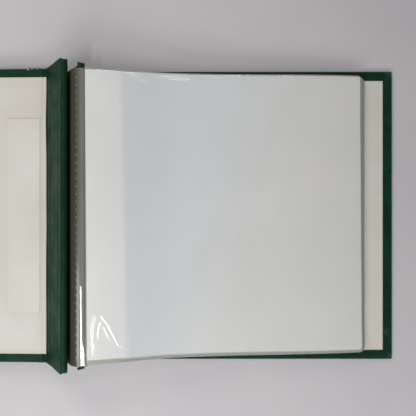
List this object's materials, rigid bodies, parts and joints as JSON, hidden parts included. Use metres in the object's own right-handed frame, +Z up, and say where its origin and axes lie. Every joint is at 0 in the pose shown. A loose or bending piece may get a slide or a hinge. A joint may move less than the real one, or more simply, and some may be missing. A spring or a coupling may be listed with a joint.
{
  "type": "stamp album",
  "caption": "Green cloth album lying open, with a sprung clamp spine gripping white leaves in clear sleeves, covers hinged at cloth joints.",
  "frame": {"origin": "centre of the rear cover's underside, on the surface the album lies on", "axes": "+X from the spine to the rear cover's fore-edge, +Y to the head of the page, +Z up"},
  "size_m": [0.6926, 0.3, 0.0465],
  "materials": {
    "book_cloth": "fine woven book cloth, slight sheen",
    "greyboard": "matte",
    "lining_paper": "matte, laid texture, lightly aged",
    "leaf_card": "smooth matte",
    "sleeve_film": "clear glossy film",
    "spring_steel": "satin"
  },
  "bodies": {
    "rear_cover": {"rear_board": "greyboard", "rear_cloth": "book_cloth", "rear_lining": "lining_paper", "rear_joint_cloth": "book_cloth"},
    "spine": {"spine_board": "greyboard", "spine_cloth": "book_cloth", "spine_spring": "spring_steel", "leaf_margins": "sleeve_film", "margin_bend": "sleeve_film"},
    "front_jaw": {"front_jaw_board": "greyboard", "front_jaw_cloth": "book_cloth", "front_jaw_lip": "greyboard", "front_jaw_spring": "spring_steel"},
    "rear_jaw": {"rear_jaw_board": "greyboard", "rear_jaw_cloth": "book_cloth", "rear_jaw_lip": "greyboard", "rear_jaw_spring": "spring_steel"},
    "front_cover": {"front_board": "greyboard", "front_cloth": "book_cloth", "front_lining": "lining_paper", "front_joint_cloth": "book_cloth", "lining_slip": "leaf_card"},
    "leaf_pile": {"leaf_2_card": "leaf_card", "leaf_3_card": "leaf_card", "leaf_4_card": "leaf_card", "leaf_5_card": "leaf_card", "leaf_6_card": "leaf_card", "leaf_7_card": "leaf_card", "leaf_8_card": "leaf_card", "leaf_9_card": "leaf_card", "leaf_10_card": "leaf_card", "leaf_2_sleeve": "sleeve_film", "leaf_3_sleeve": "sleeve_film", "leaf_4_sleeve": "sleeve_film", "leaf_5_sleeve": "sleeve_film", "leaf_6_sleeve": "sleeve_film", "leaf_7_sleeve": "sleeve_film", "leaf_8_sleeve": "sleeve_film", "leaf_9_sleeve": "sleeve_film", "leaf_10_sleeve": "sleeve_film"},
    "leaf_stub": {"leaf_1_stub": "leaf_card", "leaf_1_stub_sleeve": "sleeve_film"},
    "leaf_panel": {"leaf_1_card": "leaf_card", "leaf_1_sleeve": "sleeve_film"}
  },
  "joints": [
    {"name": "spine_tilt", "type": "hinge", "parent": "rear_cover", "child": "spine", "pos_m": [-0.167, 0, 0.00175], "axis": [0, -1, 0], "range_deg": [-52, 0], "deforming": ["rear_joint_cloth"]},
    {"name": "front_cover_swing", "type": "hinge", "parent": "spine", "child": "front_cover", "pos_m": [-0.1908, 0, 0.014], "axis": [0, -1, 0], "range_deg": [-129.5, 0], "deforming": ["front_joint_cloth"]},
    {"name": "front_jaw_flex", "type": "hinge", "parent": "spine", "child": "front_jaw", "pos_m": [-0.18691, 0, 0.01655], "axis": [0, -1, 0], "range_deg": [0, 8], "stiffness_Nm_per_rad": 6},
    {"name": "rear_jaw_flex", "type": "hinge", "parent": "spine", "child": "rear_jaw", "pos_m": [-0.17036, 0, 0.00362], "axis": [0, 1, 0], "range_deg": [0, 8], "stiffness_Nm_per_rad": 6},
    {"name": "pile_bend", "type": "hinge", "parent": "spine", "child": "leaf_pile", "pos_m": [-0.15033, 0, 0.03251], "axis": [0, -1, 0], "range_deg": [0, 60], "deforming": ["margin_bend"]},
    {"name": "leaf_turn", "type": "hinge", "parent": "leaf_pile", "child": "leaf_stub", "pos_m": [-0.14914, 0, 0.04314], "axis": [0, -1, 0], "range_deg": [0, 150]},
    {"name": "leaf_fold", "type": "hinge", "parent": "leaf_stub", "child": "leaf_panel", "pos_m": [-0.10939, 0, 0.03868], "axis": [0, -1, 0], "range_deg": [0, 50.25]}
  ],
  "couplings": [
    {"joint": "pile_bend", "follows": "spine_tilt", "ratio": -1.146},
    {"joint": "leaf_fold", "follows": "leaf_turn", "ratio": 0.335}
  ]
}
